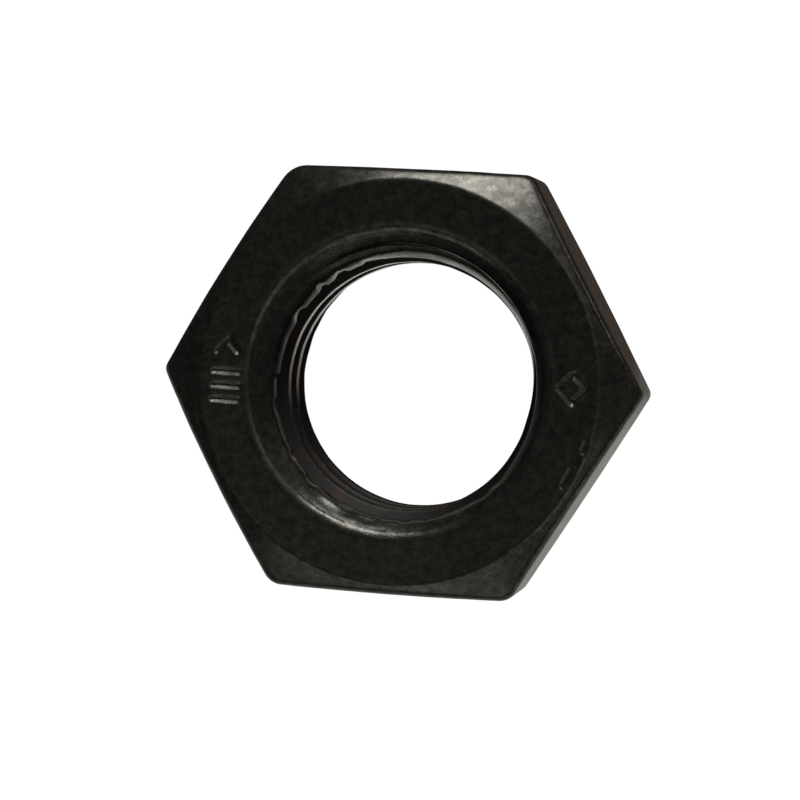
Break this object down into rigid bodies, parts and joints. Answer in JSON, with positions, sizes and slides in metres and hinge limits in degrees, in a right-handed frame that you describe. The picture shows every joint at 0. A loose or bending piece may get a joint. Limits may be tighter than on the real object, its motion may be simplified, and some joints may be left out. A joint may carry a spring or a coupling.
{
  "type": "hex nut",
  "caption": "Thin hexagon nut with a coarse right-hand thread, chamfered faces and a countersunk bore, in black-oxide steel.",
  "frame": {"origin": "centre of the lower bearing face, on the thread axis", "axes": "+Z along the thread axis towards the marked face; +X through a corner of the hexagon; two flats face +Y and -Y"},
  "size_m": [0.0344, 0.03, 0.01],
  "materials": {
    "black_oxide": "black-oxide steel, satin, with small bright rubs on the edges and thread crests"
  },
  "bodies": {
    "root": {"hex_nut": "black_oxide"}
  },
  "joints": []
}
